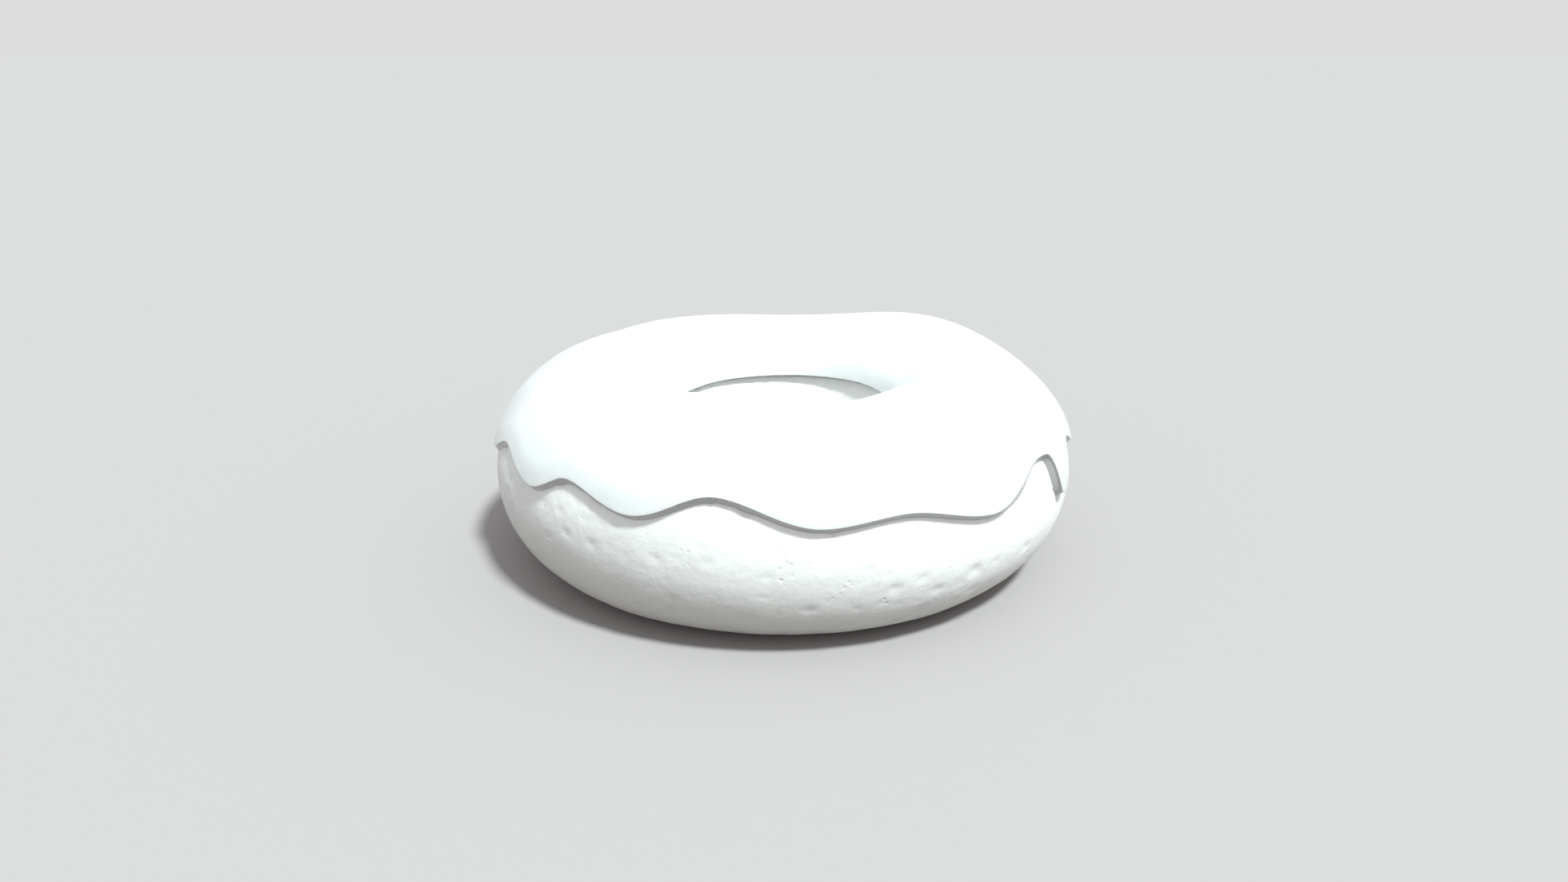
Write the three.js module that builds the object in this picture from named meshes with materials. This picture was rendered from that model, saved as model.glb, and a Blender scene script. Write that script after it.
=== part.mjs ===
// A ring doughnut: one ring of baked dough, with one coat of icing over its top.
//
// Lengths are in millimetres and +Z is up. The doughnut lies flat on z = 0, with its hole round the Z axis.
// A place on it is given by two angles. The turn goes round the hole, counter-clockwise from +X as seen
// from above, so the front is at 270 degrees. The tilt goes round the tube's section: 0 is the outer side,
// 90 is the crest and 180 is the wall of the hole.

import * as THREE from 'three';

const { degToRad, radToDeg, smoothstep, lerp } = THREE.MathUtils;

// The dough ring, before its swells
const RING_RADIUS = 47.5; // from the hole's axis to the outer side
const OUTER_HALF_WIDTH = 16.2; // of the tube, from its middle to its outer side
const INNER_HALF_WIDTH = 15.75; // of the tube, from its middle to the hole
const CREST_HEIGHT = 16.55; // from the widest line up to the crest
const BASE_DEPTH = 15.4; // from the widest line down to the round section's lowest point
const RESTING_FLAT = 0.8; // how much of that depth is baked flat where the ring lies

// How much fuller than an ellipse the section is, halfway between its sides and its crest or base
const SHOULDER_FULLNESS = 0.7; // outside, above the widest line
const BELLY_FULLNESS = 0.55; // outside, below the widest line
const HOLE_FULLNESS = 0.55; // towards the hole

// The ring is uneven, as risen dough is. Each swell is [waves in a full turn, size, turn of a high point].
const OUTLINE_SWELLS = [
  [2, 0.56, 3],
  [3, 0.18, 83],
  [4, 0.14, 14],
  [5, 0.1, 29],
];
const HOLE_SWELLS = [
  [1, 0.25, 159],
  [2, 0.28, 60],
  [3, 0.14, 10],
];
const CREST_SWELLS = [
  [1, 0.44, 275],
  [2, 0.19, 27],
  [3, 0.59, 36],
  [4, 0.53, 52],
  [5, 0.51, 39.5],
];
const SHOULDER_SWELLS = [
  [1, 0.23, 38],
  [2, 0.18, 62],
];
const BELLY_SWELLS = [
  [1, 0.23, 85],
  [2, 0.26, 80],
];

// The icing is a thin shell that follows the dough
const ICING_GAP = 0.3; // between the dough and the icing
const ICING_THICKNESS = 0.9;

// The icing's outer edge: how high each lobe and each notch ends above the widest line, as [turn, height]
const DRIP_LINE = [
  [9, 8.4],
  [25, 4.6],
  [43, 8.9],
  [63, 5.6],
  [84, 9.4],
  [105, 5.2],
  [126, 7.9],
  [146, 3.2],
  [169, 8.6],
  [192, 4.6],
  [203.5, 8],
  [219, 5.5],
  [229, 8.3],
  [243.5, 6.1],
  [258, 9.4],
  [276.5, 6],
  [290.5, 6.9],
  [308, 4.6],
  [323, 8.8],
  [327, 8.6],
  [330.5, 1.9],
  [332, 1.7],
  [340.5, 7.8],
  [348, 5.5],
];

// The icing's inner edge, on the wall of the hole, in the same form
const HOLE_LINE = [
  [14, 9],
  [35, 9.15],
  [92, 8.25],
  [150, 8.85],
  [190, 9.6],
  [222, 8.1],
  [262, 9.6],
  [300, 7.9],
  [335, 9.1],
];

// Facets
const DOUGH_TURNS = 72; // round the hole
const DOUGH_STEPS = 23; // round the section, from one side of the resting flat to the other
const ICING_TURNS = 120; // round the hole, finer because the drips are narrow
const SKIN_STEPS = 8; // across each skin of the icing
const RIM_STEPS = 3; // round each rounded rim of the icing

/** How far a place at this turn stands out beyond the even ring. */
function swell(swells, turn) {
  let total = 0;
  for (const [waves, size, high] of swells) {
    total += size * Math.cos(waves * (turn - degToRad(high)));
  }
  return total;
}

/** The height of an edge line at this turn: its stated points, joined by smooth waves. */
function lineHeight(line, turn) {
  const [firstTurn, firstHeight] = line[0];
  const closed = [...line, [firstTurn + 360, firstHeight]];
  const degrees = firstTurn + ((((radToDeg(turn) - firstTurn) % 360) + 360) % 360);
  const next = closed.findIndex(([angle]) => angle > degrees);
  const [startTurn, startHeight] = closed[next - 1];
  const [endTurn, endHeight] = closed[next];
  return lerp(startHeight, endHeight, smoothstep(degrees, startTurn, endTurn));
}

/** How high the crest stands above the widest line at this turn. */
function crestHeight(turn) {
  return CREST_HEIGHT + swell(CREST_SWELLS, turn);
}

/** How much fuller than an ellipse the section is at this turn, in the quarter that faces this way. */
function fullness(turn, outside, above) {
  if (!outside) return HOLE_FULLNESS;
  if (above) return SHOULDER_FULLNESS + swell(SHOULDER_SWELLS, turn);
  return BELLY_FULLNESS + swell(BELLY_SWELLS, turn);
}

/** The point at a turn and a tilt, lifted off the dough's skin. */
function ringPoint(turn, tilt, lift) {
  const across = Math.cos(tilt);
  const upward = Math.sin(tilt);
  const outside = across > 0;
  const above = upward > 0;
  const tubeMiddle = RING_RADIUS - OUTER_HALF_WIDTH + swell(OUTLINE_SWELLS, turn);
  const halfWidth = outside ? OUTER_HALF_WIDTH : INNER_HALF_WIDTH + swell(HOLE_SWELLS, turn);
  const halfHeight = above ? crestHeight(turn) : BASE_DEPTH;
  const raised = lift + fullness(turn, outside, above) * Math.sin(2 * tilt) ** 2;
  const radius = tubeMiddle + (halfWidth + raised) * across;
  const height = Math.max((halfHeight + raised) * upward, RESTING_FLAT - BASE_DEPTH);
  return new THREE.Vector3(radius * Math.cos(turn), radius * Math.sin(turn), height);
}

/**
 * A closed skin round the hole. sectionAt(turn) gives the section there as a loop of [tilt, lift].
 * Each four-sided patch is folded along its shorter diagonal, so that it stays close to the true surface.
 */
function ringSkin(turns, sectionAt) {
  const sections = Array.from({ length: turns }, (_, step) => {
    const turn = (2 * Math.PI * step) / turns;
    return sectionAt(turn).map(([tilt, lift]) => ringPoint(turn, tilt, lift));
  });
  const rows = sections[0].length;
  const triangles = [];
  sections.forEach((section, step) => {
    const nextStep = (step + 1) % turns;
    const nextSection = sections[nextStep];
    for (let row = 0; row < rows; row++) {
      const nextRow = (row + 1) % rows;
      const here = step * rows + row;
      const above = step * rows + nextRow;
      const beside = nextStep * rows + row;
      const across = nextStep * rows + nextRow;
      const foldAcross = section[row].distanceTo(nextSection[nextRow]);
      const foldBack = section[nextRow].distanceTo(nextSection[row]);
      if (foldAcross < foldBack) {
        triangles.push(here, beside, across, here, across, above);
      } else {
        triangles.push(here, beside, above, beside, across, above);
      }
    }
  });
  const geometry = new THREE.BufferGeometry().setFromPoints(sections.flat());
  geometry.setIndex(triangles);
  geometry.computeVertexNormals();
  return geometry;
}

/** The dough's section: round from one side of the resting flat, over the crest, to its other side. */
function doughSection() {
  const flatTilt = Math.asin(1 - RESTING_FLAT / BASE_DEPTH);
  const sweep = Math.PI + 2 * flatTilt;
  const tiltAt = (step) => (sweep * step) / DOUGH_STEPS - flatTilt;
  return Array.from({ length: DOUGH_STEPS + 1 }, (_, step) => [tiltAt(step), 0]);
}

/** The icing's section: the outer skin, the rim in the hole, the inner skin, and the outer rim. */
function icingSection(turn) {
  const rimRadius = ICING_THICKNESS / 2;
  const middleLift = ICING_GAP + rimRadius;
  const outerTilt = Math.asin(lineHeight(DRIP_LINE, turn) / crestHeight(turn));
  const holeTilt = Math.PI - Math.asin(lineHeight(HOLE_LINE, turn) / crestHeight(turn));
  const section = [];
  const addSkin = (fromTilt, toTilt, lift) => {
    for (let step = 0; step <= SKIN_STEPS; step++) {
      section.push([lerp(fromTilt, toTilt, step / SKIN_STEPS), lift]);
    }
  };
  const addRim = (edgeTilt, startAngle) => {
    for (let step = 1; step < RIM_STEPS; step++) {
      const angle = startAngle + (Math.PI * step) / RIM_STEPS;
      const bulge = (rimRadius * Math.sin(angle)) / OUTER_HALF_WIDTH;
      section.push([edgeTilt + bulge, middleLift + rimRadius * Math.cos(angle)]);
    }
  };
  addSkin(outerTilt, holeTilt, middleLift + rimRadius);
  addRim(holeTilt, 0);
  addSkin(holeTilt, outerTilt, middleLift - rimRadius);
  addRim(outerTilt, Math.PI);
  return section;
}

function doughRing() {
  const crust = new THREE.MeshStandardMaterial({ color: 0xf3efe9, roughness: 0.75, metalness: 0 });
  const mesh = new THREE.Mesh(ringSkin(DOUGH_TURNS, doughSection), crust);
  mesh.name = 'dough_ring';
  return mesh;
}

function icing() {
  const sugar = new THREE.MeshStandardMaterial({ color: 0xfafbfb, roughness: 0.35, metalness: 0 });
  const mesh = new THREE.Mesh(ringSkin(ICING_TURNS, icingSection), sugar);
  mesh.name = 'icing';
  return mesh;
}

const doughnut = new THREE.Group();
doughnut.add(doughRing(), icing());

// Lay the doughnut on z = 0, with the middle of its outline on the Z axis
const outline = new THREE.Box3().setFromObject(doughnut);
const middle = outline.getCenter(new THREE.Vector3());
doughnut.position.set(-middle.x, -middle.y, -outline.min.z);

export default doughnut;
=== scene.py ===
"""Ring doughnut: a baked dough ring under a coat of dripping icing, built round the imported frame.

Laid out as an add-on and run as a script. Lengths are in metres and +Z is up. The front is -Y, and the
doughnut lies on z = 0. A place on the ring is given by two angles: the turn goes round the hole,
counter-clockwise from +X as seen from above, and the tilt goes round the tube's section, where 0 is the
outer side, 90 degrees is the crest and 180 degrees is the wall of the hole.
"""

import math

import bpy
import numpy as np
from bpy.props import FloatProperty, FloatVectorProperty, IntProperty, PointerProperty
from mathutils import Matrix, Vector


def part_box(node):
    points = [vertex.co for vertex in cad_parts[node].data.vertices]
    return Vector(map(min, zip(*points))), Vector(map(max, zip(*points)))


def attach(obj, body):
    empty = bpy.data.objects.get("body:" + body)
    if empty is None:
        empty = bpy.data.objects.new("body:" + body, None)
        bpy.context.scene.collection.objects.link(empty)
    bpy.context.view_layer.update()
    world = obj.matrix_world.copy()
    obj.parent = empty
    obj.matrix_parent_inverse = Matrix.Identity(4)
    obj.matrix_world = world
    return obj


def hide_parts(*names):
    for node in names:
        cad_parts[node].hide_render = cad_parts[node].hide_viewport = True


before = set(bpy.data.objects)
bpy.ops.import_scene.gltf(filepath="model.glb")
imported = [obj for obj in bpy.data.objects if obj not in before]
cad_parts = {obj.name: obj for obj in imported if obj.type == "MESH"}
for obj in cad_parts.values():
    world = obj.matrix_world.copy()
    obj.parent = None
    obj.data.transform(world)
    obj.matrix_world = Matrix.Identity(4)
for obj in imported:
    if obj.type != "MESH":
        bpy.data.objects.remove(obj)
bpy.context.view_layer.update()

bl_info = {
    "name": "Ring Doughnut",
    "version": (1, 0, 0),
    "blender": (4, 5, 0),
    "location": "3D View > Sidebar > Doughnut",
    "description": "Builds an iced ring doughnut: the dough ring, the icing and a plain studio stage",
    "category": "Add Mesh",
}

MM = 0.001
TAU = 2 * math.pi

# The ring is uneven, as risen dough is. Each swell is (waves in a full turn, size, turn of a high point).
OUTLINE_SWELLS = [
    (2, 0.56 * MM, 3),
    (3, 0.18 * MM, 83),
    (4, 0.14 * MM, 14),
    (5, 0.1 * MM, 29),
]
HOLE_SWELLS = [
    (1, 0.25 * MM, 159),
    (2, 0.28 * MM, 60),
    (3, 0.14 * MM, 10),
]
CREST_SWELLS = [
    (1, 0.44 * MM, 275),
    (2, 0.19 * MM, 27),
    (3, 0.59 * MM, 36),
    (4, 0.53 * MM, 52),
    (5, 0.51 * MM, 39.5),
]
SHOULDER_SWELLS = [
    (1, 0.23 * MM, 38),
    (2, 0.34 * MM, 77),
]
BELLY_SWELLS = [
    (1, 0.23 * MM, 85),
    (2, 0.26 * MM, 80),
]

# Where the icing set thicker, in the same form
THICKNESS_SWELLS = [
    (1, 0.13 * MM, 15),
    (2, 0.13 * MM, 95),
]

# The icing's outer edge: how high each lobe and notch ends above the widest line, as (turn, millimetres)
DRIP_LINE = [
    (9, 8.4),
    (25, 4.6),
    (43, 8.9),
    (63, 5.6),
    (84, 9.4),
    (105, 5.2),
    (126, 7.9),
    (146, 3.2),
    (169, 8.6),
    (192, 4.6),
    (203.5, 8),
    (219, 5.5),
    (229, 8.3),
    (243.5, 6.1),
    (258, 9.4),
    (276.5, 6),
    (290.5, 6.9),
    (308, 4.6),
    (323, 8.8),
    (327, 8.6),
    (330.5, 1.9),
    (332, 1.7),
    (340.5, 7.8),
    (348, 5.5),
]

# The icing's inner edge, on the wall of the hole, in the same form
HOLE_LINE = [
    (14, 8.6),
    (35, 8.75),
    (92, 8.0),
    (150, 8.65),
    (190, 9.15),
    (222, 7.65),
    (262, 9.15),
    (300, 7.45),
    (335, 8.65),
]

# The ring's sizes, as the trees name them: (input name, property name)
RING_INPUTS = [
    ("Ring Radius", "ring_radius"),
    ("Outer Half Width", "outer_half_width"),
    ("Inner Half Width", "inner_half_width"),
    ("Crest Height", "crest_height"),
    ("Base Depth", "base_depth"),
    ("Resting Flat", "resting_flat"),
    ("Shoulder Fullness", "shoulder_fullness"),
    ("Belly Fullness", "belly_fullness"),
    ("Hole Fullness", "hole_fullness"),
    ("Lump Height", "lump_height"),
    ("Lump Width", "lump_width"),
]

# How finely the pieces are divided
DOUGH_TURNS = 432  # round the hole
DOUGH_STEPS = 216  # round the tube
ICING_TURNS = 600  # round the hole, finer because the drips are narrow
SKIN_STEPS = 108  # across the icing's outer skin
CORNER_STEPS = 7  # round the corner where that skin turns down
FOOT_STEPS = 9  # from that corner down to the dough
UNDERSIDE_STEPS = 12  # across the icing's underside
SKIN_CROWDING = 0.11  # how much closer the outer skin's rows lie near its edges

# About where the icing ends, so that lengths along its edges come out true
OUTER_EDGE_TILT = math.radians(22)
HOLE_EDGE_TILT = math.radians(32)

# The dough's surface
LUMP_BIAS = 0.4  # how far the lumps are set down, in lump heights
FLAT_ROUNDING = 0.5 * MM  # where the round section meets the resting flat
SEAM_GAP = 0.002 * MM  # closer places than this are merged
PORE_DENSITY = 4e5  # pores tried on each square metre, before their spacing thins them
SMALLEST_PORE = 0.28  # of the widest pore's radius
PORE_RARITY = 3.0  # how much rarer wide pores are than small ones

# The crust's patterns and its finest relief
PATCH_WIDTH = 14 * MM
SPECK_WIDTH = 2.2 * MM
PIT_SPACING = 1.3 * MM
PIT_DEPTH = 0.11 * MM
GRAIN_WIDTH = 0.55 * MM
GRAIN_DEPTH = 0.022 * MM
CRUMPLE_WIDTH = 1.9 * MM
CRUMPLE_DEPTH = 0.05 * MM
# Painted shade: the crust's colour is darkened towards the bottom, standing in for the shade on the
# underside
FULL_SHADE_HEIGHT = 0.5 * MM  # the height up to which the painted underside shade is full
SHADE_END_HEIGHT = 21 * MM  # the height where it has faded out
SHADE_WAVER = 1.5 * MM  # how far that height wanders

# The icing's surface, its patterns and its finest relief
FOOT_SINK = 0.12 * MM  # how far its underside lies below the crust
RIPPLE_START = 4 * MM  # from its edge to where its ripples are full
BEAD_FADE = 3.0  # from its edge to where it has its crest thickness, in bead widths
HOLE_RIM_SHADE = 0.6  # share of the painted rim shade that its foot keeps in the hole, where outside it is 1
CLOUD_WIDTH = 11 * MM
DRIFT_WIDTH = 5 * MM
DRIFT_DEPTH = 0.05 * MM
DUST_WIDTH = 0.8 * MM
DUST_DEPTH = 0.004 * MM

FLOOR_HALF_WIDTH = 60.0


def length(name, description, millimetres):
    """A length property, with its default given in millimetres."""
    return FloatProperty(
        name=name, description=description, default=millimetres * MM, min=0, unit="LENGTH", precision=5
    )


def tint(name, description, colour):
    """A colour property."""
    return FloatVectorProperty(
        name=name, description=description, default=colour, min=0, max=1, size=3, subtype="COLOR"
    )


class DoughSettings(bpy.types.PropertyGroup):
    """Sizes and colours of the dough ring"""

    ring_radius: length("Ring Radius", "From the hole's axis to the outer side, before the swells", 47.5)
    outer_half_width: length("Outer Half Width", "Of the tube, from its middle to its outer side", 16.2)
    inner_half_width: length("Inner Half Width", "Of the tube, from its middle to the hole", 15.75)
    crest_height: length("Crest Height", "From the widest line up to the crest", 16.55)
    base_depth: length("Base Depth", "From the widest line down to the round section's lowest point", 15.4)
    resting_flat: length("Resting Flat", "How much of the base depth is baked flat", 0.8)
    shoulder_fullness: length("Shoulder Fullness", "How much fuller than an ellipse its upper side is", 0.5)
    belly_fullness: length("Belly Fullness", "How much fuller than an ellipse its lower side is", 0.55)
    hole_fullness: length("Hole Fullness", "How much fuller than an ellipse its side in the hole is", 0.55)
    lump_height: length("Lump Height", "Height of the slow lumps that the dough rose into", 0.2)
    lump_width: length("Lump Width", "Width of one slow lump", 17)
    crease_depth: length("Crease Depth", "Depth of the small wrinkles in the crust", 0.11)
    crease_width: length("Crease Width", "Width of one small wrinkle", 4.2)
    pore_depth: length("Pore Depth", "Depth of the widest open pore", 0.36)
    pore_radius: length("Pore Radius", "Radius of the widest open pore", 1.5)
    pore_spacing: length("Pore Spacing", "Least distance between two pores", 2.4)
    # Painted shadow: the width of the band of crust darkened beside the icing's edge
    edge_shadow_width: length("Edge Shadow Width", "Of the band of crust that the icing has dampened", 0.8)
    # Painted shade: the darkened colour low down reaches higher on the left than on the right, away from
    # the key light
    shade_slant: FloatProperty(
        name="Shade Slant", description="How much lower the baked colour ends for each step to the right",
        default=0.11,
    )
    seed: IntProperty(name="Seed", description="Which scatter of pores is used", default=7, min=0)
    crust: tint("Crust", "Colour of the pale crust", (0.73, 0.735, 0.727))
    # Painted shade: the darker colour low down, standing in for the shade on the underside
    underside_shade: tint("Underside Shade", "Colour of the crust low down, where it baked most", (0.42, 0.405, 0.39))
    # Painted light: the crust in the hole is made lighter, offsetting the shade that falls in the hole
    hole_light_crust: tint("Hole Light Crust", "Colour of the crust in the hole", (0.86, 0.86, 0.85))
    # Painted shadow: the colour of that band, where the icing's shadow falls
    edge_shadow_colour: tint("Edge Shadow Colour", "Colour of the crust right beside the icing", (0.70, 0.69, 0.68))
    # Partly the dough's inner colour, partly painted shade: the open pits are darkened towards it
    crumb_and_pit_shade: tint("Crumb And Pit Shade", "Colour down in the pores and wrinkles", (0.66, 0.63, 0.59))


class IcingSettings(bpy.types.PropertyGroup):
    """Sizes and colours of the icing"""

    edge_thickness: length("Edge Thickness", "Of the icing just inside its outer edge", 1.15)
    hole_thickness: length("Hole Thickness", "Of the icing just inside its edge in the hole", 1.3)
    crest_thickness: length("Crest Thickness", "Of the icing over the crest", 1.1)
    bead_height: length("Bead Height", "How far the icing swells just inside its edge", 0.1)
    bead_width: length("Bead Width", "From the edge to the far side of that swelling", 5)
    corner_radius: length("Corner Radius", "Of the corner where the icing's skin turns down", 0.28)
    lip_setback: length("Lip Setback", "How far short of its edge line the icing's skin ends", 0.15)
    rim_slope: FloatProperty(
        name="Rim Slope", description="How far the outer rim runs out for each step down",
        default=0.7, min=0,
    )
    slump: FloatProperty(
        name="Slump", description="How much further the rim runs out on the flank that slumped as it set",
        default=1.6, min=0,
    )
    slump_turn: FloatProperty(
        name="Slump Turn", description="Turn of that flank's middle",
        default=math.radians(316), subtype="ANGLE",
    )
    slump_spread: FloatProperty(
        name="Slump Spread", description="How far along the edge the slump fades out on either side",
        default=math.radians(6), min=math.radians(1), subtype="ANGLE",
    )
    hole_rim_slope: FloatProperty(
        name="Hole Rim Slope", description="How far the rim in the hole runs out for each step down",
        default=0.05, min=0,
    )
    corner_softness: length("Corner Softness", "How much the lobes and notches are rounded", 0.75)
    ripple_height: length("Ripple Height", "Height of the slow ripples in the icing's skin", 0.12)
    ripple_width: length("Ripple Width", "Width of one ripple", 9)
    sugar: tint("Sugar", "Colour of the icing", (0.61, 0.622, 0.622))
    thin_sugar: tint("Thin Sugar", "Colour where the icing is a little thinner", (0.58, 0.592, 0.592))
    # Painted shade: the dark colour of the rim's foot, standing in for the shade under the icing's edge
    rim_shade_colour: tint("Rim Shade Colour", "Colour of the icing's foot, where it is damp", (0.34, 0.335, 0.33))


class StageSettings(bpy.types.PropertyGroup):
    """The plain studio stage"""

    floor: tint("Floor", "Colour of the plain pale floor", (0.338, 0.313, 0.312))
    backdrop: tint("Backdrop", "Colour of the air round the stage", (0.723, 0.723, 0.723))
    overhead: tint("Overhead", "Colour of the soft light from above", (0.85, 0.885, 0.895))
    key_strength: FloatProperty(
        name="Key Strength", description="Strength of the key light", default=5.35, min=0
    )
    key_tint: tint("Key Tint", "Colour of the key light", (0.885, 1.0, 0.995))
    key_softness: FloatProperty(
        name="Key Softness", description="Width of the key light as the doughnut sees it",
        default=math.radians(8), min=0, subtype="ANGLE",
    )
    key_turn: FloatProperty(
        name="Key Turn", description="Turn that the key light comes from",
        default=math.radians(-52), subtype="ANGLE",
    )
    key_height: FloatProperty(
        name="Key Height", description="How high above the horizon the key light stands",
        default=math.radians(59.4), subtype="ANGLE",
    )
    camera_height: FloatProperty(
        name="Camera Height", description="How far above the horizon the camera stands",
        default=math.radians(20), subtype="ANGLE",
    )
    camera_distance: length("Camera Distance", "From the camera to the middle of the doughnut", 184.45)
    camera_aim: length("Camera Aim", "How high above the widest line the camera looks", 1.88)
    lens: FloatProperty(name="Lens", description="Focal length on a 36 mm wide film", default=24.44, min=1)


# ---- Node trees ---------------------------------------------------------------------------------------


class Maker:
    """Adds nodes to a tree and joins them, so that a rule reads like a formula."""

    def __init__(self, tree):
        self.tree = tree

    def add(self, kind, inputs=None, **settings):
        node = self.tree.nodes.new(kind)
        for name, value in settings.items():
            setattr(node, name, value)
        for name, value in (inputs or {}).items():
            self.join(value, node.inputs[name])
        return node

    def join(self, value, socket):
        if isinstance(value, bpy.types.NodeSocket):
            self.tree.links.new(value, socket)
        else:
            socket.default_value = value

    def maths(self, operation, *values, clamp=False):
        node = self.add("ShaderNodeMath", operation=operation, use_clamp=clamp)
        for socket, value in zip(node.inputs, values):
            self.join(value, socket)
        return node.outputs[0]

    def plus(self, a, b):
        return self.maths("ADD", a, b)

    def minus(self, a, b):
        return self.maths("SUBTRACT", a, b)

    def times(self, a, b):
        return self.maths("MULTIPLY", a, b)

    def over(self, a, b):
        return self.maths("DIVIDE", a, b)

    def choose(self, switch, when_off, when_on):
        return self.plus(when_off, self.times(switch, self.minus(when_on, when_off)))

    def vector(self, operation, *values):
        node = self.add("ShaderNodeVectorMath", operation=operation)
        for socket, value in zip(node.inputs, values):
            self.join(value, socket)
        return node.outputs["Value" if operation == "DISTANCE" else "Vector"]

    def split(self, vector):
        return self.add("ShaderNodeSeparateXYZ", {"Vector": vector}).outputs

    def position(self):
        return self.add("GeometryNodeInputPosition").outputs[0]

    def store(self, geometry, name, value, kind="FLOAT"):
        """The geometry, with this value kept under a name at each of its points."""
        inputs = {"Geometry": geometry, "Name": name, "Value": value}
        node = self.add("GeometryNodeStoreNamedAttribute", inputs, data_type=kind, domain="POINT")
        return node.outputs[0]

    def stored(self, name, kind):
        return self.add("GeometryNodeInputNamedAttribute", {"Name": name}, data_type=kind).outputs[0]

    def sample(self, geometry, value, index, kind):
        """The value at one point of the geometry."""
        inputs = {"Geometry": geometry, "Value": value, "Index": index}
        return self.add("GeometryNodeSampleIndex", inputs, data_type=kind, domain="POINT").outputs[0]

    def place_at(self, geometry, position):
        node = self.add("GeometryNodeSetPosition", {"Geometry": geometry, "Position": position})
        return node.outputs[0]

    def ease(self, value, start, end, low=0.0, high=1.0):
        """A smooth step: low at start, high at end."""
        node = self.add(
            "ShaderNodeMapRange",
            {"Value": value, "From Min": start, "From Max": end, "To Min": low, "To Max": high},
            interpolation_type="SMOOTHSTEP",
        )
        return node.outputs["Result"]

    def noise(self, position, width, detail=0.0, roughness=0.5, shift=0.0):
        """Smooth noise from -1 to 1, whose lumps are about this wide."""
        moved = self.vector("ADD", position, (shift, shift, shift))
        scale = self.over(1.0, width)
        inputs = {"Vector": moved, "Scale": scale, "Detail": detail, "Roughness": roughness}
        node = self.add("ShaderNodeTexNoise", inputs)
        return self.times(self.minus(node.outputs[0], 0.5), 2.0)


def new_tree(name, inputs, outputs):
    """A geometry node tree with these sockets, and its input and output nodes."""
    tree = bpy.data.node_groups.new(name, "GeometryNodeTree")
    for socket_name, kind, default in inputs:
        socket = tree.interface.new_socket(name=socket_name, in_out="INPUT", socket_type=kind)
        if default is not None:
            socket.default_value = default
    for socket_name, kind in outputs:
        tree.interface.new_socket(name=socket_name, in_out="OUTPUT", socket_type=kind)
    maker = Maker(tree)
    return tree, maker, maker.add("NodeGroupInput").outputs, maker.add("NodeGroupOutput").inputs


def place_sockets():
    """A place on the ring, as tree inputs."""
    return [(name, "NodeSocketFloat", 0.0) for name in ("Turn", "Tilt", "Lift")]


def ring_sockets(dough):
    """The ring's sizes as tree inputs, with the settings as their defaults."""
    sizes = [(name, "NodeSocketFloat", getattr(dough, prop)) for name, prop in RING_INPUTS]
    return sizes + [("Centre", "NodeSocketVector", None)]


def pass_ring(sockets):
    """The ring's sizes, handed on from a tree's own inputs to a group inside it."""
    return {name: sockets[name] for name in [name for name, _ in RING_INPUTS] + ["Centre"]}


def place_on_ring(maker, ring_tree, sockets, turn, tilt, lift):
    """The position that the ring's rule gives."""
    group = maker.add("GeometryNodeGroup", node_tree=ring_tree)
    for name, value in {"Turn": turn, "Tilt": tilt, "Lift": lift, **pass_ring(sockets)}.items():
        maker.join(value, group.inputs[name])
    return group.outputs["Position"]


def dress(maker, geometry, material, result):
    """Ends a tree: its geometry is shaded smooth, made real, and given its material."""
    smooth = maker.add("GeometryNodeSetShadeSmooth", {"Geometry": geometry})
    whole = maker.add("GeometryNodeRealizeInstances", {"Geometry": smooth.outputs[0]})
    dressed = maker.add("GeometryNodeSetMaterial", {"Geometry": whole.outputs[0], "Material": material})
    maker.join(dressed.outputs[0], result["Geometry"])


def swell_sum(maker, swells, turn):
    """How far a place at this turn stands out beyond the even ring."""
    total = 0.0
    for waves, size, high in swells:
        phase = maker.times(maker.minus(turn, math.radians(high)), float(waves))
        total = maker.plus(total, maker.times(maker.maths("COSINE", phase), size))
    return total


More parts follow.
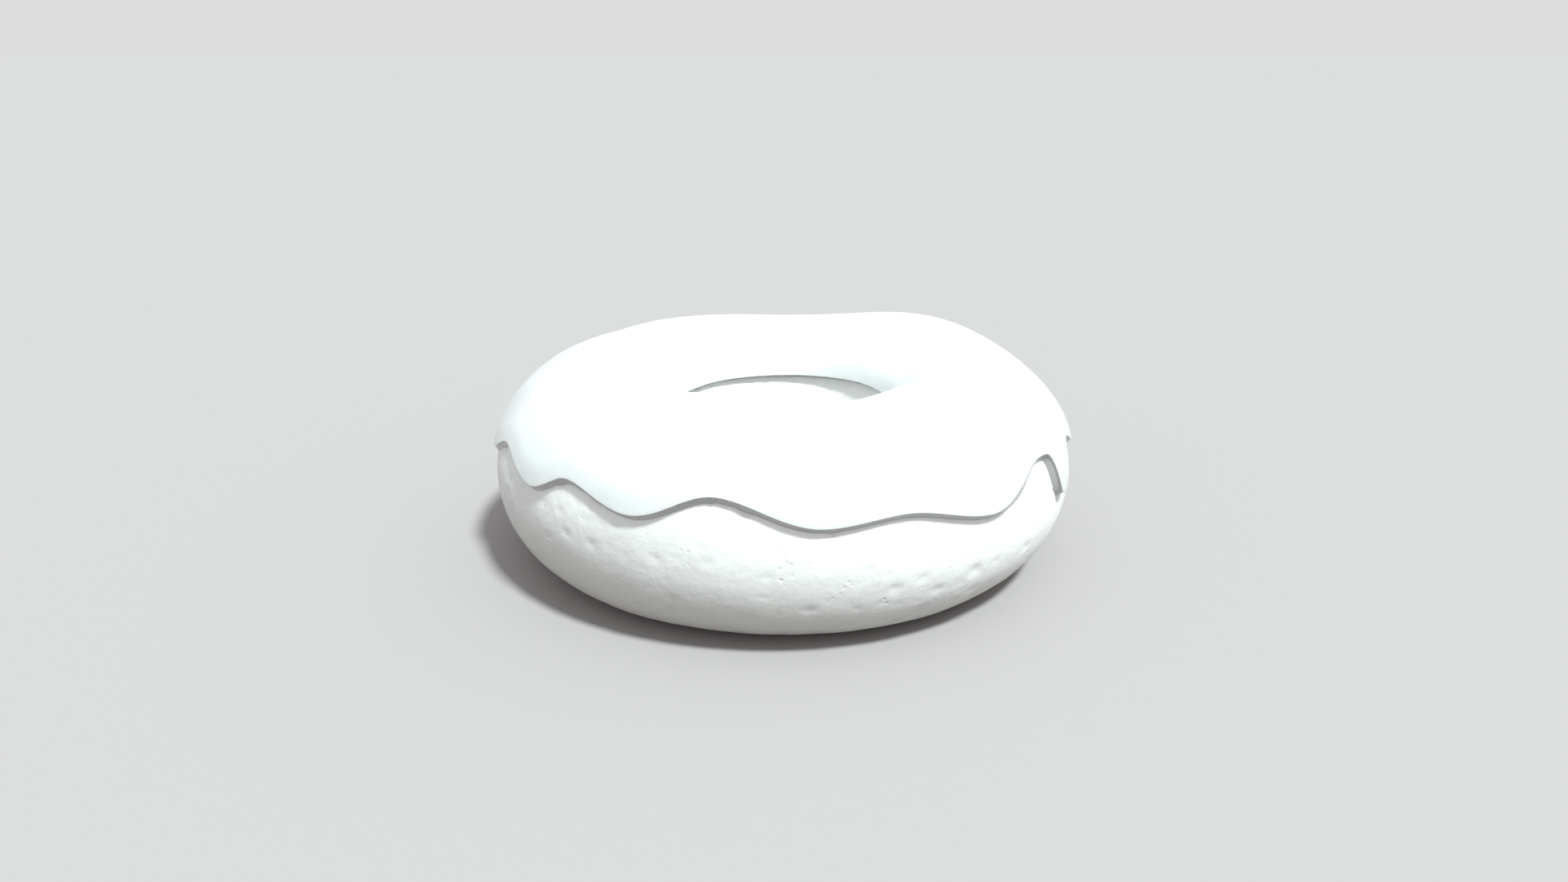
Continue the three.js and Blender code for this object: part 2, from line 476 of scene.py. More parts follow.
def ring_surface_tree(dough):
    """The rule of the ring: from a turn, a tilt and a lift to a place in space."""
    tree, m, given, result = new_tree(
        "Ring Surface", place_sockets() + ring_sockets(dough), [("Position", "NodeSocketVector")]
    )
    turn, tilt, lift = given["Turn"], given["Tilt"], given["Lift"]
    across = m.maths("COSINE", tilt)
    upward = m.maths("SINE", tilt)
    tube_middle = m.plus(
        m.minus(given["Ring Radius"], given["Outer Half Width"]), swell_sum(m, OUTLINE_SWELLS, turn)
    )
    outside = m.maths("GREATER_THAN", across, 0.0)
    inner_width = m.plus(given["Inner Half Width"], swell_sum(m, HOLE_SWELLS, turn))
    half_width = m.choose(outside, inner_width, given["Outer Half Width"])
    above = m.maths("GREATER_THAN", upward, 0.0)
    crest = m.plus(given["Crest Height"], swell_sum(m, CREST_SWELLS, turn))
    half_height = m.choose(above, given["Base Depth"], crest)
    shoulder = m.plus(given["Shoulder Fullness"], swell_sum(m, SHOULDER_SWELLS, turn))
    belly = m.plus(given["Belly Fullness"], swell_sum(m, BELLY_SWELLS, turn))
    outer_fullness = m.choose(above, belly, shoulder)
    fullness = m.choose(outside, given["Hole Fullness"], outer_fullness)
    halfway = m.maths("POWER", m.maths("SINE", m.times(tilt, 2.0)), 2.0)
    raised = m.plus(lift, m.times(fullness, halfway))
    radius = m.plus(tube_middle, m.times(m.plus(half_width, raised), across))
    round_height = m.times(m.plus(half_height, raised), upward)
    flat_level = m.minus(given["Resting Flat"], given["Base Depth"])
    height = m.maths("SMOOTH_MAX", round_height, flat_level, FLAT_ROUNDING)
    place = m.add(
        "ShaderNodeCombineXYZ",
        {
            "X": m.times(radius, m.maths("COSINE", turn)),
            "Y": m.times(radius, m.maths("SINE", turn)),
            "Z": height,
        },
    ).outputs["Vector"]
    m.join(m.vector("ADD", place, given["Centre"]), result["Position"])
    return tree


def risen_place_tree(dough, ring_surface):
    """The ring with its slow lumps: they lift the dough and whatever lies on it alike."""
    tree, m, given, result = new_tree(
        "Risen Ring", place_sockets() + ring_sockets(dough), [("Position", "NodeSocketVector")]
    )
    turn, tilt, lift = given["Turn"], given["Tilt"], given["Lift"]
    even_place = place_on_ring(m, ring_surface, given, turn, tilt, 0.0)
    lumps = m.minus(m.noise(even_place, given["Lump Width"], detail=1.0), LUMP_BIAS)
    raised = m.plus(lift, m.times(lumps, given["Lump Height"]))
    m.join(place_on_ring(m, ring_surface, given, turn, tilt, raised), result["Position"])
    return tree


def dough_tree(dough, ring_surface, risen_ring):
    """The dough ring: an even grid wrapped round the hole and round the tube, then wrinkled and pored."""
    inputs = [
        ("Geometry", "NodeSocketGeometry", None),
        ("Turns", "NodeSocketInt", DOUGH_TURNS),
        ("Steps", "NodeSocketInt", DOUGH_STEPS),
        ("Crease Depth", "NodeSocketFloat", dough.crease_depth),
        ("Crease Width", "NodeSocketFloat", dough.crease_width),
        ("Pore Depth", "NodeSocketFloat", dough.pore_depth),
        ("Pore Radius", "NodeSocketFloat", dough.pore_radius),
        ("Pore Spacing", "NodeSocketFloat", dough.pore_spacing),
        ("Seed", "NodeSocketInt", dough.seed),
        ("Edge Shadow Width", "NodeSocketFloat", dough.edge_shadow_width),
        ("Crust", "NodeSocketMaterial", None),
    ]
    tree, m, given, result = new_tree(
        "Dough Ring", inputs + ring_sockets(dough), [("Geometry", "NodeSocketGeometry")]
    )
    counts = {"Vertices X": m.plus(given["Turns"], 1.0), "Vertices Y": m.plus(given["Steps"], 1.0)}
    grid = m.add("GeometryNodeMeshGrid", {"Size X": 1.0, "Size Y": 1.0, **counts}).outputs["Mesh"]
    share = m.split(m.position())
    turn = m.times(share["X"], TAU)
    tilt = m.plus(m.times(share["Y"], TAU), TAU / 4)
    turn_and_tilt = m.add("ShaderNodeCombineXYZ", {"X": turn, "Y": tilt}).outputs[0]
    tagged = m.store(grid, "turn_and_tilt", turn_and_tilt, "FLOAT_VECTOR")
    wrapped = m.place_at(tagged, place_on_ring(m, ring_surface, given, turn, tilt, 0.0))

    # Open pores: seeded points, each with its own radius, that press a dimple round themselves
    pores = m.add(
        "GeometryNodeDistributePointsOnFaces",
        {"Mesh": wrapped, "Distance Min": given["Pore Spacing"], "Density Max": PORE_DENSITY,
         "Seed": given["Seed"]},
        distribute_method="POISSON",
    ).outputs["Points"]
    draw = m.add("FunctionNodeRandomValue", data_type="FLOAT").outputs[1]
    spread = m.maths("POWER", draw, PORE_RARITY)
    size = m.plus(m.times(spread, 1 - SMALLEST_PORE), SMALLEST_PORE)
    here = m.position()
    nearest = m.add("GeometryNodeSampleNearest", {"Geometry": pores, "Sample Position": here}).outputs[0]
    pore_radius = m.sample(pores, m.times(size, given["Pore Radius"]), nearest, "FLOAT")
    pore_middle = m.sample(pores, m.position(), nearest, "FLOAT_VECTOR")
    reach = m.over(m.vector("DISTANCE", here, pore_middle), pore_radius)
    hollow = m.maths("SUBTRACT", 1.0, m.times(reach, reach), clamp=True)
    pore_share = m.over(pore_radius, given["Pore Radius"])
    dimple = m.times(m.times(m.times(hollow, hollow), pore_share), given["Pore Depth"])

    # Painted shadow: a band of crust beside the icing's edge is marked for darkening, where the icing's
    # shadow falls
    line = m.split(m.position())
    line_place = place_on_ring(m, ring_surface, given, line["X"], line["Y"], 0.0)
    foot_line = m.place_at(given["Geometry"], line_place)
    from_icing = m.add("GeometryNodeProximity", {"Geometry": foot_line}, target_element="EDGES")
    shadowed = m.ease(from_icing.outputs["Distance"], 0.0, given["Edge Shadow Width"], 1.0, 0.0)
    overshadowed = m.store(wrapped, "shadowed", shadowed)

    # Small wrinkles in the crust
    creases = m.times(m.noise(here, given["Crease Width"], detail=2.0, shift=0.37), given["Crease Depth"])
    angle = m.split(m.stored("turn_and_tilt", "FLOAT_VECTOR"))
    lift = m.minus(creases, dimple)
    wrinkled_and_low_shade = m.place_at(overshadowed, place_on_ring(m, risen_ring, given, angle["X"], angle["Y"], lift))
    ring = m.add("GeometryNodeMergeByDistance", {"Geometry": wrinkled_and_low_shade, "Distance": SEAM_GAP}).outputs[0]

    # Marks the crust in the hole, for the painted light there and to keep the painted shadow by the icing
    # out of it
    hole_wall_share = m.ease(m.maths("COSINE", angle["Y"]), -0.1, -0.7)
    dress(m, m.store(ring, "hole_wall_share", hole_wall_share), given["Crust"], result)
    return tree


def icing_tree(dough, icing, risen_ring):
    """The icing: a flat pattern of its shell, laid on the risen ring and swollen along its edges.

    The pattern's x is the turn, its y is the tilt, and its z is 1 on the outer skin and 0 underneath.
    """
    inputs = [
        ("Geometry", "NodeSocketGeometry", None),
        ("Edge Thickness", "NodeSocketFloat", icing.edge_thickness),
        ("Hole Thickness", "NodeSocketFloat", icing.hole_thickness),
        ("Crest Thickness", "NodeSocketFloat", icing.crest_thickness),
        ("Bead Height", "NodeSocketFloat", icing.bead_height),
        ("Bead Width", "NodeSocketFloat", icing.bead_width),
        ("Ripple Height", "NodeSocketFloat", icing.ripple_height),
        ("Ripple Width", "NodeSocketFloat", icing.ripple_width),
        ("Sugar", "NodeSocketMaterial", None),
    ]
    tree, m, given, result = new_tree(
        "Icing", inputs + ring_sockets(dough), [("Geometry", "NodeSocketGeometry")]
    )
    pattern = m.split(m.position())
    tagged = m.store(given["Geometry"], "pattern", m.position(), "FLOAT_VECTOR")
    laid = m.place_at(tagged, place_on_ring(m, risen_ring, given, pattern["X"], pattern["Y"], 0.0))

    # How far each place is from where the icing ends, measured on the ring
    edge = m.add(
        "GeometryNodeSeparateGeometry", {"Geometry": laid, "Selection": m.stored("on_edge", "BOOLEAN")},
        domain="POINT",
    ).outputs[0]
    inward = m.add("GeometryNodeProximity", {"Geometry": edge}, target_element="POINTS").outputs["Distance"]

    along_bead = m.maths("MINIMUM", m.over(inward, given["Bead Width"]), 1.0)
    half_bead = m.maths("SINE", m.times(along_bead, math.pi))
    bead = m.times(m.times(half_bead, half_bead), given["Bead Height"])
    here = m.position()
    ripple = m.times(m.noise(here, given["Ripple Width"], detail=0.5, shift=0.11), given["Ripple Height"])
    ripple = m.times(ripple, m.ease(inward, 0.0, RIPPLE_START))
    angle = m.split(m.stored("pattern", "FLOAT_VECTOR"))
    outer_share = m.ease(m.maths("COSINE", angle["Y"]), -0.5, 0.5)
    at_edge = m.choose(outer_share, given["Hole Thickness"], given["Edge Thickness"])
    fade = m.times(given["Bead Width"], BEAD_FADE)
    thickness = m.ease(inward, 0.0, fade, at_edge, given["Crest Thickness"])
    uneven = m.plus(thickness, swell_sum(m, THICKNESS_SWELLS, angle["X"]))
    skin = m.plus(m.plus(uneven, bead), ripple)
    lift = m.minus(m.times(skin, angle["Z"]), m.times(m.minus(1.0, angle["Z"]), FOOT_SINK))
    poured = m.place_at(laid, place_on_ring(m, risen_ring, given, angle["X"], angle["Y"], lift))

    # Painted shade: the icing's rim is darkened down to its foot, less so in the hole
    low_down = m.ease(angle["Z"], 0.72, 0.97, 1.0, 0.0)
    foot = m.times(low_down, m.choose(outer_share, HOLE_RIM_SHADE, 1.0))
    dress(m, m.store(poured, "foot", foot), given["Sugar"], result)
    return tree


def run_tree(piece, tree, values):
    """Runs a tree on a piece with these named inputs, and keeps the result as a plain mesh."""
    modifier = piece.modifiers.new(tree.name, "NODES")
    modifier.node_group = tree
    for socket in tree.interface.items_tree:
        if socket.item_type == "SOCKET" and socket.in_out == "INPUT" and socket.name in values:
            modifier[socket.identifier] = values[socket.name]
    piece.update_tag()
    depsgraph = bpy.context.evaluated_depsgraph_get()
    plain = bpy.data.meshes.new_from_object(piece.evaluated_get(depsgraph))
    piece.modifiers.remove(modifier)
    piece.data = plain
    plain.name = piece.name
    for name in ("turn_and_tilt", "pattern", "on_edge"):
        if name in plain.attributes:
            plain.attributes.remove(plain.attributes[name])


def new_piece(name, mesh):
    """An object at the origin, in the scene."""
    piece = bpy.data.objects.new(name, mesh)
    bpy.context.scene.collection.objects.link(piece)
    return piece


# ---- Finishes -----------------------------------------------------------------------------------------
# Each pattern is noise from -1 to 1, eased from the first level after it to the second.


def new_material(name):
    """A material with its tree's maker, its surface shader, and the piece's own coordinates."""
    material = bpy.data.materials.new(name)
    material.use_nodes = True
    maker = Maker(material.node_tree)
    shader = next(node for node in material.node_tree.nodes if node.type == "BSDF_PRINCIPLED")
    place = maker.add("ShaderNodeTexCoord").outputs["Object"]
    return material, maker, shader, place


def set_sockets(shader, values):
    for name, value in values.items():
        shader.inputs[name].default_value = value


def set_relief(maker, shader, relief):
    """Lets a height in metres bend the surface's light."""
    bump = maker.add("ShaderNodeBump", {"Height": relief, "Strength": 1.0, "Distance": 1.0})
    maker.join(bump.outputs[0], shader.inputs["Normal"])


def mix_colours(maker, share, first, second):
    """The first colour where share is 0 and the second where it is 1."""
    node = maker.add("ShaderNodeMix", data_type="RGBA")
    maker.join(share, node.inputs[0])
    maker.join(first, node.inputs[6])
    maker.join(second, node.inputs[7])
    return node.outputs[2]


def opaque(colour):
    return (*colour, 1.0)


def crust_material(dough):
    """Pale baked dough: matt, finely pored and faintly mottled."""
    material, m, shader, place = new_material("pale_crust")
    patches = m.ease(m.noise(place, PATCH_WIDTH, detail=2.0), -0.5, 0.6)
    specks = m.ease(m.noise(place, SPECK_WIDTH, detail=3.0, roughness=0.6), 0.05, 0.75)
    pits = m.add(
        "ShaderNodeTexVoronoi", {"Vector": place, "Scale": 1 / PIT_SPACING, "Randomness": 1.0}, feature="F1"
    ).outputs["Distance"]
    pit = m.ease(pits, 0.0, 0.34, 1.0, 0.0)
    scatter = m.ease(m.noise(place, 5 * MM, detail=1.0, shift=0.2), 0.0, 0.5)
    open_pit = m.times(pit, scatter)
    # Mottled towards the darker colour in random patches and specks; the open pits are darkened towards it
    # too, partly the dough's inner colour and partly painted shade down in the pits
    shade = m.plus(m.times(patches, 0.22), m.plus(m.times(specks, 0.28), m.times(open_pit, 0.35)))
    mottled = mix_colours(m, shade, opaque(dough.crust), opaque(dough.crumb_and_pit_shade))

    # Painted shade darkens the crust towards the bottom, more on the left; painted light lightens it in the
    # hole; a painted shadow darkens a band beside the icing's edge
    along = m.split(place)
    height = m.plus(along["Z"], m.times(along["X"], dough.shade_slant))
    wavering = m.plus(height, m.times(m.noise(place, 12 * MM, detail=2.0, shift=0.8), SHADE_WAVER))
    wrinkled_and_low_shade = m.ease(wavering, FULL_SHADE_HEIGHT, SHADE_END_HEIGHT, 1.0, 0.0)
    with_low_shade = mix_colours(m, wrinkled_and_low_shade, mottled, opaque(dough.underside_shade))
    # Painted light: the crust in the hole is lightened, offsetting its shade
    hole_wall_share = m.add("ShaderNodeAttribute", attribute_name="hole_wall_share").outputs["Fac"]
    with_hole_light = mix_colours(m, hole_wall_share, with_low_shade, opaque(dough.hole_light_crust))
    # Painted shadow: the band beside the icing's edge is darkened, outside the hole
    shadowed = m.add("ShaderNodeAttribute", attribute_name="shadowed").outputs["Fac"]
    shadowed_outside = m.times(shadowed, m.minus(1.0, hole_wall_share))
    m.join(mix_colours(m, shadowed_outside, with_hole_light, opaque(dough.edge_shadow_colour)), shader.inputs["Base Color"])

    roughness = m.ease(m.noise(place, 3 * MM, detail=2.0, shift=0.5), -0.6, 0.6, 0.52, 0.72)
    m.join(roughness, shader.inputs["Roughness"])
    grain = m.noise(place, GRAIN_WIDTH, detail=3.0, roughness=0.65)
    crumple = m.noise(place, CRUMPLE_WIDTH, detail=2.0, shift=0.3)
    relief = m.plus(m.times(grain, GRAIN_DEPTH), m.times(crumple, CRUMPLE_DEPTH))
    set_relief(m, shader, m.minus(relief, m.times(open_pit, PIT_DEPTH)))
    set_sockets(
        shader,
        {
            "Subsurface Weight": 0.12,
            "Subsurface Radius": (1.0, 0.8, 0.6),
            "Subsurface Scale": 1.2 * MM,
            "Specular IOR Level": 0.35,
            "Sheen Weight": 0.05,
        },
    )
    return material


def sugar_material(icing):
    """Set white icing: smooth and satin, with a soft glow and painted shade on its rim down to its foot."""
    material, m, shader, place = new_material("set_icing")
    cloud = m.ease(m.noise(place, CLOUD_WIDTH, detail=2.0, shift=0.7), -0.5, 0.6)
    clouded = mix_colours(m, cloud, opaque(icing.sugar), opaque(icing.thin_sugar))
    # Painted shade on the rim's foot
    foot = m.add("ShaderNodeAttribute", attribute_name="foot").outputs["Fac"]
    m.join(mix_colours(m, foot, clouded, opaque(icing.rim_shade_colour)), shader.inputs["Base Color"])
    roughness = m.ease(m.noise(place, 4 * MM, detail=2.0), -0.6, 0.6, 0.24, 0.38)
    m.join(roughness, shader.inputs["Roughness"])
    drift = m.noise(place, DRIFT_WIDTH, detail=1.0, shift=0.9)
    dust = m.noise(place, DUST_WIDTH, detail=2.0)
    set_relief(m, shader, m.plus(m.times(drift, DRIFT_DEPTH), m.times(dust, DUST_DEPTH)))
    set_sockets(
        shader,
        {
            "Subsurface Weight": 0.15,
            "Subsurface Radius": (1.0, 0.95, 0.9),
            "Subsurface Scale": 1.0 * MM,
            "Specular IOR Level": 0.5,
            "Coat Weight": 0.25,
            "Coat Roughness": 0.14,
        },
    )
    return material


# ---- Pieces -------------------------------------------------------------------------------------------


def swell(swells, turns):
    """How far places at these turns stand out beyond the even ring."""
    return sum(size * np.cos(waves * (turns - math.radians(high))) for waves, size, high in swells)


def ring_centre(dough):
    """Where the hole's axis crosses the widest line, so that the dough fills its CAD node's box."""
    turns = np.linspace(0, TAU, 720, endpoint=False)
    radius = dough.ring_radius + swell(OUTLINE_SWELLS, turns)
    outline = np.stack([radius * np.cos(turns), radius * np.sin(turns)])
    middle = (outline.min(axis=1) + outline.max(axis=1)) / 2
    low, high = (np.array(corner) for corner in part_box("dough_ring"))
    cad_middle = (low + high) / 2
    rise = low[2] + dough.base_depth - dough.resting_flat
    return Vector((cad_middle[0] - middle[0], cad_middle[1] - middle[1], rise))


def ring_values(dough):
    """The ring's sizes as a tree takes them."""
    values = {name: getattr(dough, prop) for name, prop in RING_INPUTS}
    values["Centre"] = ring_centre(dough)
    return values


def edge_heights(line, turns):
    """The heights of an edge line at these turns: its stated points, joined by smooth waves."""
    line_turns = np.radians([turn for turn, _ in line])
    heights = np.array([height for _, height in line]) * MM
    line_turns = np.append(line_turns, line_turns[0] + TAU)
    heights = np.append(heights, heights[0])
    wrapped = line_turns[0] + (turns - line_turns[0]) % TAU
    start = np.clip(np.searchsorted(line_turns, wrapped, side="right") - 1, 0, len(line) - 1)
    share = (wrapped - line_turns[start]) / (line_turns[start + 1] - line_turns[start])
    ease = share * share * (3 - 2 * share)
    return heights[start] + ease * (heights[start + 1] - heights[start])


def even_steps(along, height, turn_length, count):
    """A closed line, resampled to this many steps of equal length."""
    along = np.append(along, along[0] + turn_length)
    height = np.append(height, height[0])
    travelled = np.concatenate([[0], np.cumsum(np.hypot(np.diff(along), np.diff(height)))])
    steps = np.arange(count) * travelled[-1] / count
    return np.interp(steps, travelled, along), np.interp(steps, travelled, height), travelled[-1]


def rounded_edge(line, radius, softness, count):
    """An edge line as (turns, heights, outward) at even steps, with its corners rounded.

    outward holds the unit direction out of the icing at each step, as (along the ring, up the dough).
    """
    turn_length = TAU * radius
    fine = 8 * count
    turns = np.linspace(0, TAU, 4 * fine, endpoint=False)
    along, height, total = even_steps(turns * radius, edge_heights(line, turns), turn_length, fine)
    steady = np.arange(fine) * turn_length / fine
    waves = np.fft.fftfreq(fine, d=total / fine)
    fade = np.exp(-((TAU * waves * softness) ** 2) / 2)
    along = steady + np.fft.ifft(np.fft.fft(along - steady) * fade).real
    height = np.fft.ifft(np.fft.fft(height) * fade).real
    along, height, _ = even_steps(along, height, turn_length, count)
    run = (np.roll(along, -1) - np.roll(along, 1)) % turn_length
    rise = np.roll(height, -1) - np.roll(height, 1)
    outward = np.stack([rise, -run]) / np.hypot(run, rise)
    return along / radius, height, outward


def rim_profile(icing, thickness, slope):
    """The icing's rim, from its skin down to its foot, as (reach, run, share of the thickness).

    slope is how far the rim runs out for each step down. A row lies reach past the edge line, and then run
    beyond that because of the slope.
    """
    lean = math.atan2(1, slope)
    radius = icing.corner_radius
    start = -icing.lip_setback - radius * math.sin(lean)
    profile = []
    for step in range(1, CORNER_STEPS + 1):
        angle = lean * step / CORNER_STEPS
        drop = radius * (1 - math.cos(angle))
        profile.append((start + radius * math.sin(angle), 0, 1 - drop / thickness))
    reach, _, height = profile[-1]
    for step in range(1, FOOT_STEPS + 1):
        share = step / FOOT_STEPS
        profile.append((reach, height * thickness * slope * share, height * (1 - share)))
    return profile


def icing_edges(dough, icing):
    """The icing's two edge lines, each as its turns, its tilts, and its rim's rows.

    Each row is (turns, tilts, share of the thickness).
    """
    tube_middle = dough.ring_radius - dough.outer_half_width
    outer_radius = tube_middle + dough.outer_half_width * math.cos(OUTER_EDGE_TILT)
    hole_radius = tube_middle - dough.inner_half_width * math.cos(HOLE_EDGE_TILT)
    outer_rim = rim_profile(icing, icing.edge_thickness, icing.rim_slope)
    hole_rim = rim_profile(icing, icing.hole_thickness, icing.hole_rim_slope)
    edges = []
    for line, radius, rim, in_hole in (
        (DRIP_LINE, outer_radius, outer_rim, False),
        (HOLE_LINE, hole_radius, hole_rim, True),
    ):
        turns, heights, outward = rounded_edge(line, radius, icing.corner_softness, ICING_TURNS)
        tilts = np.arcsin(heights / (dough.crest_height + swell(CREST_SWELLS, turns)))
        turn_step = outward[0] / radius
        tilt_step = outward[1] / dough.outer_half_width
        if in_hole:
            tilts = math.pi - tilts
            tilt_step = -tilt_step
        nearness = 2 * (np.cos(turns - icing.slump_turn) - 1) / icing.slump_spread ** 2
        slumped = 1 + icing.slump * np.exp(nearness)
        rows = []
        for reach, run, share in rim:
            out = reach + run * slumped
            rows.append((turns + turn_step * out, tilts + tilt_step * out, share))
        edges.append((turns, tilts, rows))
    return edges


def foot_lines(dough, icing):
    """The two lines where the icing meets the dough, as loops of (turn, tilt)."""
    points = []
    links = []
    for _, _, rows in icing_edges(dough, icing):
        first = len(points)
        turns, tilts, _ = rows[-1]
        points.extend(np.stack([turns, tilts, np.zeros(ICING_TURNS)], axis=1).tolist())
        links.extend((first + step, first + (step + 1) % ICING_TURNS) for step in range(ICING_TURNS))
    mesh = bpy.data.meshes.new("foot_lines")
    mesh.from_pydata(points, links, [])
    return mesh


def icing_pattern(dough, icing):
    """The icing's closed shell, laid out flat: x is the turn, y the tilt, z 1 outside and 0 underneath."""
    outer, hole = icing_edges(dough, icing)
    outer_turns, outer_tilts, outer_rim = outer
    hole_turns, hole_tilts, hole_rim = hole

    def across(share):
        return (
            outer_turns + (hole_turns - outer_turns) * share,
            outer_tilts + (hole_tilts - outer_tilts) * share,
        )

    rows = []
    on_edge = []

    def add_row(turns, tilts, skin, is_edge=False):
        rows.append(np.stack([turns, tilts, np.full(ICING_TURNS, skin)], axis=1))
        on_edge.append(is_edge)

    for step in range(SKIN_STEPS + 1):
        share = step / SKIN_STEPS
        crowded = share - SKIN_CROWDING * math.sin(TAU * share)
        add_row(*across(crowded), 1.0)
    for row in hole_rim:
        add_row(*row)
    for step in range(UNDERSIDE_STEPS + 1):
        add_row(*across(1 - step / UNDERSIDE_STEPS), 0.0, step in (0, UNDERSIDE_STEPS))
    for row in reversed(outer_rim):
        add_row(*row)

    row_count = len(rows)
    points = np.concatenate(rows)
    faces = []
    for row in range(row_count):
        next_row = (row + 1) % row_count
        for column in range(ICING_TURNS):
            next_column = (column + 1) % ICING_TURNS
            faces.append(
                (
                    row * ICING_TURNS + column,
                    row * ICING_TURNS + next_column,
                    next_row * ICING_TURNS + next_column,
                    next_row * ICING_TURNS + column,
                )
            )
    mesh = bpy.data.meshes.new("icing_pattern")
    mesh.from_pydata(points.tolist(), [], faces)
    flags = mesh.attributes.new("on_edge", "BOOLEAN", "POINT")
    flags.data.foreach_set("value", np.repeat(on_edge, ICING_TURNS))
    return mesh


class DOUGHNUT_OT_dough_ring(bpy.types.Operator):
    """Bake the dough ring"""

    bl_idname = "doughnut.dough_ring"
    bl_label = "Dough Ring"
    bl_options = {"REGISTER", "UNDO"}

    def execute(self, context):
        dough = context.scene.doughnut_dough
        ring_surface = ring_surface_tree(dough)
        tree = dough_tree(dough, ring_surface, risen_place_tree(dough, ring_surface))
        piece = new_piece("baked_dough", foot_lines(dough, context.scene.doughnut_icing))
        run_tree(piece, tree, {**ring_values(dough), "Crust": crust_material(dough)})
        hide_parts("dough_ring")
        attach(piece, "root")
        return {"FINISHED"}


class DOUGHNUT_OT_icing(bpy.types.Operator):
    """Pour the icing over the dough ring"""

    bl_idname = "doughnut.icing"
    bl_label = "Icing"
    bl_options = {"REGISTER", "UNDO"}

    def execute(self, context):
        dough = context.scene.doughnut_dough
        icing = context.scene.doughnut_icing
        tree = icing_tree(dough, icing, bpy.data.node_groups["Risen Ring"])
        piece = new_piece("poured_icing", icing_pattern(dough, icing))
        run_tree(piece, tree, {**ring_values(dough), "Sugar": sugar_material(icing)})
        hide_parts("icing")
        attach(piece, "root")
        return {"FINISHED"}


# ---- Stage --------------------------------------------------------------------------------------------


def add_floor(stage):
    """A wide flat floor, so wide that its far edge is at the horizon."""
    half = FLOOR_HALF_WIDTH
    mesh = bpy.data.meshes.new("floor")
    corners = [(-half, -half, 0), (half, -half, 0), (half, half, 0), (-half, half, 0)]
    mesh.from_pydata(corners, [], [(0, 1, 2, 3)])
    floor = new_piece("floor", mesh)
    material, _, shader, _ = new_material("plain_floor")
    set_sockets(shader, {"Base Color": opaque(stage.floor), "Roughness": 0.9, "Specular IOR Level": 0.0})
    mesh.materials.append(material)


def add_air(stage):
    """Soft light from all round: the backdrop's colour near the horizon and a softer one overhead."""
    world = bpy.data.worlds.new("studio_air")
    world.use_nodes = True
    maker = Maker(world.node_tree)
    direction = maker.add("ShaderNodeTexCoord").outputs["Generated"]
    share = maker.ease(maker.split(direction)["Z"], 0.08, 0.5)
    colour = mix_colours(maker, share, opaque(stage.backdrop), opaque(stage.overhead))
    background = next(node for node in world.node_tree.nodes if node.type == "BACKGROUND")
    maker.join(colour, background.inputs["Color"])
    bpy.context.scene.world = world


def add_key_light(stage):
    """One soft key light from the front right, above."""
    lamp = bpy.data.lights.new("key_light", "SUN")
    lamp.energy = stage.key_strength
    lamp.color = stage.key_tint
    lamp.angle = stage.key_softness
    light = bpy.data.objects.new("key_light", lamp)
    towards = Vector(
        (
            math.cos(stage.key_height) * math.cos(stage.key_turn),
            math.cos(stage.key_height) * math.sin(stage.key_turn),
            math.sin(stage.key_height),
        )
    )
    light.location = towards
    light.rotation_euler = towards.to_track_quat("Z", "Y").to_euler()
    bpy.context.scene.collection.objects.link(light)


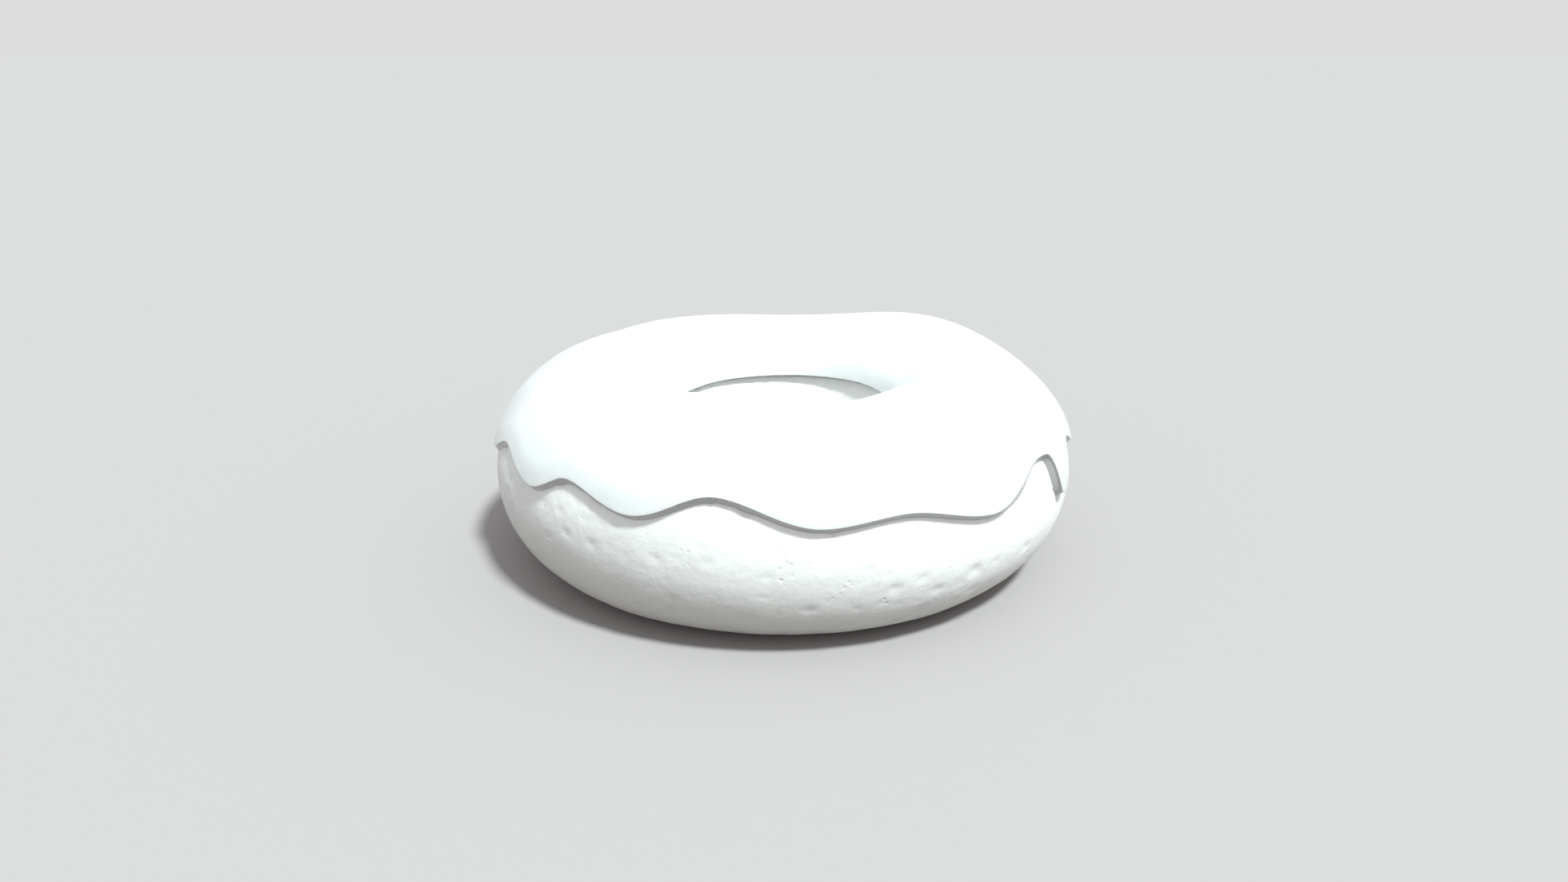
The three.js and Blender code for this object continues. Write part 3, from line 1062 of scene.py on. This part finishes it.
def add_camera(stage, dough):
    """The camera in front of the doughnut, looking down at it."""
    data = bpy.data.cameras.new("camera")
    data.sensor_width = 36
    data.lens = stage.lens
    data.clip_start = 0.005
    data.clip_end = 500
    camera = bpy.data.objects.new("camera", data)
    aim = ring_centre(dough) + Vector((0, 0, stage.camera_aim))
    back = Vector((0, -math.cos(stage.camera_height), math.sin(stage.camera_height)))
    camera.location = aim + back * stage.camera_distance
    camera.rotation_euler = back.to_track_quat("Z", "Y").to_euler()
    bpy.context.scene.collection.objects.link(camera)
    bpy.context.scene.camera = camera


class DOUGHNUT_OT_stage(bpy.types.Operator):
    """Set out the floor, the lights and the camera"""

    bl_idname = "doughnut.stage"
    bl_label = "Stage"
    bl_options = {"REGISTER", "UNDO"}

    def execute(self, context):
        stage = context.scene.doughnut_stage
        add_floor(stage)
        add_air(stage)
        add_key_light(stage)
        add_camera(stage, context.scene.doughnut_dough)
        context.scene.view_settings.view_transform = "Standard"
        return {"FINISHED"}


class DOUGHNUT_PT_panel(bpy.types.Panel):
    """Sizes, colours and steps of the doughnut"""

    bl_idname = "DOUGHNUT_PT_panel"
    bl_label = "Ring Doughnut"
    bl_space_type = "VIEW_3D"
    bl_region_type = "UI"
    bl_category = "Doughnut"

    def draw(self, context):
        for settings, operator in (
            (context.scene.doughnut_dough, DOUGHNUT_OT_dough_ring),
            (context.scene.doughnut_icing, DOUGHNUT_OT_icing),
            (context.scene.doughnut_stage, DOUGHNUT_OT_stage),
        ):
            box = self.layout.box()
            for name in settings.__annotations__:
                box.prop(settings, name)
            box.operator(operator.bl_idname)


CLASSES = (
    DoughSettings,
    IcingSettings,
    StageSettings,
    DOUGHNUT_OT_dough_ring,
    DOUGHNUT_OT_icing,
    DOUGHNUT_OT_stage,
    DOUGHNUT_PT_panel,
)


def register():
    for item in CLASSES:
        bpy.utils.register_class(item)
    bpy.types.Scene.doughnut_dough = PointerProperty(type=DoughSettings)
    bpy.types.Scene.doughnut_icing = PointerProperty(type=IcingSettings)
    bpy.types.Scene.doughnut_stage = PointerProperty(type=StageSettings)


def unregister():
    del bpy.types.Scene.doughnut_stage
    del bpy.types.Scene.doughnut_icing
    del bpy.types.Scene.doughnut_dough
    for item in reversed(CLASSES):
        bpy.utils.unregister_class(item)


def main():
    register()
    bpy.ops.doughnut.stage()
    bpy.ops.doughnut.dough_ring()
    bpy.ops.doughnut.icing()


if __name__ == "__main__":
    main()
